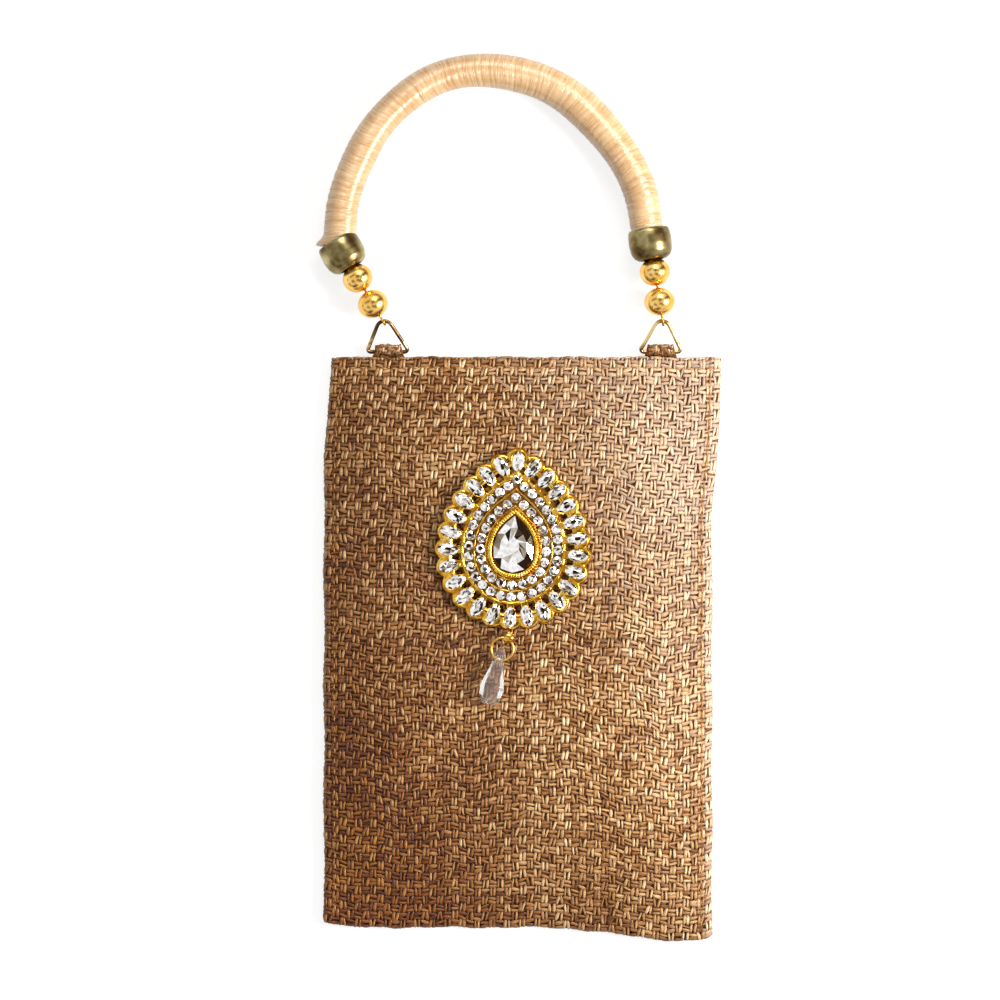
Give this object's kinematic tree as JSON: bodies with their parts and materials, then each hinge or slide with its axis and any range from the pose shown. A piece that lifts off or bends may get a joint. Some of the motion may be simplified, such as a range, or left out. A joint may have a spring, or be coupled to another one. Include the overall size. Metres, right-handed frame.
{
  "type": "jute clutch bag",
  "caption": "Small jute pouch bag with a silk-wound arched handle on beads and triangular rings, and a pear-shaped rhinestone brooch with a crystal drop.",
  "frame": {"origin": "middle of the pouch's flat back, on the surface that the bag lies on", "axes": "+X to the right as the front is looked at, +Y from the fold towards the handle, +Z out of the front"},
  "size_m": [0.1311, 0.2876, 0.0214],
  "materials": {
    "jute": "coarse golden jute in a two-by-two basket weave, with a slight shine",
    "lining_cotton": "plain woven cotton, matt",
    "snap_steel": "plated steel, satin",
    "antiqued_gold": "antiqued gold-plated wire, dark in the recesses",
    "gold_plate": "cast and gold plated, bright with darker recesses",
    "polished_gold": "polished gold plate, mirror bright",
    "antiqued_brass": "antiqued brass with a green-gold cast and darker shoulders",
    "silk_thread": "silk thread wound tight, satin sheen",
    "rope": "cotton rope",
    "crystal": "foil-backed cut rhinestone",
    "clear_crystal": "clear cut crystal"
  },
  "bodies": {
    "pouch": {"jute_shell": "jute", "lining": "lining_cotton", "snap_socket": "snap_steel", "snap_stud": "snap_steel", "left_tab": "jute", "right_tab": "jute", "brooch_frame": "gold_plate", "marquise_stone_01": "crystal", "marquise_stone_02": "crystal", "marquise_stone_03": "crystal", "marquise_stone_04": "crystal", "marquise_stone_05": "crystal", "marquise_stone_06": "crystal", "marquise_stone_07": "crystal", "marquise_stone_08": "crystal", "marquise_stone_09": "crystal", "marquise_stone_10": "crystal", "marquise_stone_11": "crystal", "marquise_stone_12": "crystal", "marquise_stone_13": "crystal", "marquise_stone_14": "crystal", "marquise_stone_15": "crystal", "marquise_stone_16": "crystal", "marquise_stone_17": "crystal", "marquise_stone_18": "crystal", "marquise_stone_19": "crystal", "marquise_stone_20": "crystal", "marquise_stone_21": "crystal", "marquise_stone_22": "crystal", "marquise_stone_23": "crystal", "marquise_stone_24": "crystal", "marquise_stone_25": "crystal", "marquise_stone_26": "crystal", "outer_stone_row": "crystal", "inner_stone_row": "crystal", "centre_bezel": "gold_plate", "centre_crystal": "crystal", "pendant_bail": "gold_plate"},
    "left_ring": {"left_ring": "antiqued_gold"},
    "right_ring": {"right_ring": "antiqued_gold"},
    "handle": {"handle_winding": "silk_thread", "handle_core": "rope", "left_cup": "antiqued_brass", "right_cup": "antiqued_brass", "left_eye_wire": "gold_plate", "right_eye_wire": "gold_plate"},
    "left_lower_bead": {"left_lower_bead": "polished_gold"},
    "left_upper_bead": {"left_upper_bead": "polished_gold"},
    "right_lower_bead": {"right_lower_bead": "polished_gold"},
    "right_upper_bead": {"right_upper_bead": "polished_gold"},
    "jump_ring": {"jump_ring": "polished_gold"},
    "crystal_drop": {"crystal_drop": "clear_crystal"}
  },
  "joints": [
    {"name": "left_ring_swing", "type": "hinge", "parent": "pouch", "child": "left_ring", "pos_m": [-0.0424, 0.0953, 0.0038], "axis": [1, 0, 0], "range_deg": [-60, 75]},
    {"name": "right_ring_swing", "type": "hinge", "parent": "pouch", "child": "right_ring", "pos_m": [0.0466, 0.0953, 0.0038], "axis": [1, 0, 0], "range_deg": [-60, 75]},
    {"name": "handle_swing", "type": "hinge", "parent": "left_ring", "child": "handle", "pos_m": [0, 0.1052, 0.00773], "axis": [1, 0, 0], "range_deg": [-60, 60]},
    {"name": "left_lower_bead_spin", "type": "hinge", "parent": "handle", "child": "left_lower_bead", "pos_m": [-0.04724, 0.11072, 0.00757], "axis": [-0.506, 0.8622, -0.0247], "continuous": true},
    {"name": "left_upper_bead_spin", "type": "hinge", "parent": "handle", "child": "left_upper_bead", "pos_m": [-0.0522, 0.11917, 0.00733], "axis": [-0.506, 0.8622, -0.0247], "continuous": true},
    {"name": "right_lower_bead_spin", "type": "hinge", "parent": "handle", "child": "right_lower_bead", "pos_m": [0.04612, 0.11152, 0.00755], "axis": [-0.153, 0.9878, -0.0283], "continuous": true},
    {"name": "right_upper_bead_spin", "type": "hinge", "parent": "handle", "child": "right_upper_bead", "pos_m": [0.04462, 0.1212, 0.00727], "axis": [-0.153, 0.9878, -0.0283], "continuous": true},
    {"name": "jump_ring_lift", "type": "hinge", "parent": "pouch", "child": "jump_ring", "pos_m": [-0.00329, 0.00197, 0.01835], "axis": [-0.866, 0.5, 0], "range_deg": [0, 100]},
    {"name": "drop_sway", "type": "hinge", "parent": "jump_ring", "child": "crystal_drop", "pos_m": [-0.00509, -0.00115, 0.01835], "axis": [0, 0, 1], "range_deg": [-35, 35]}
  ],
  "couplings": [
    {"joint": "right_ring_swing", "follows": "left_ring_swing", "ratio": 1}
  ]
}
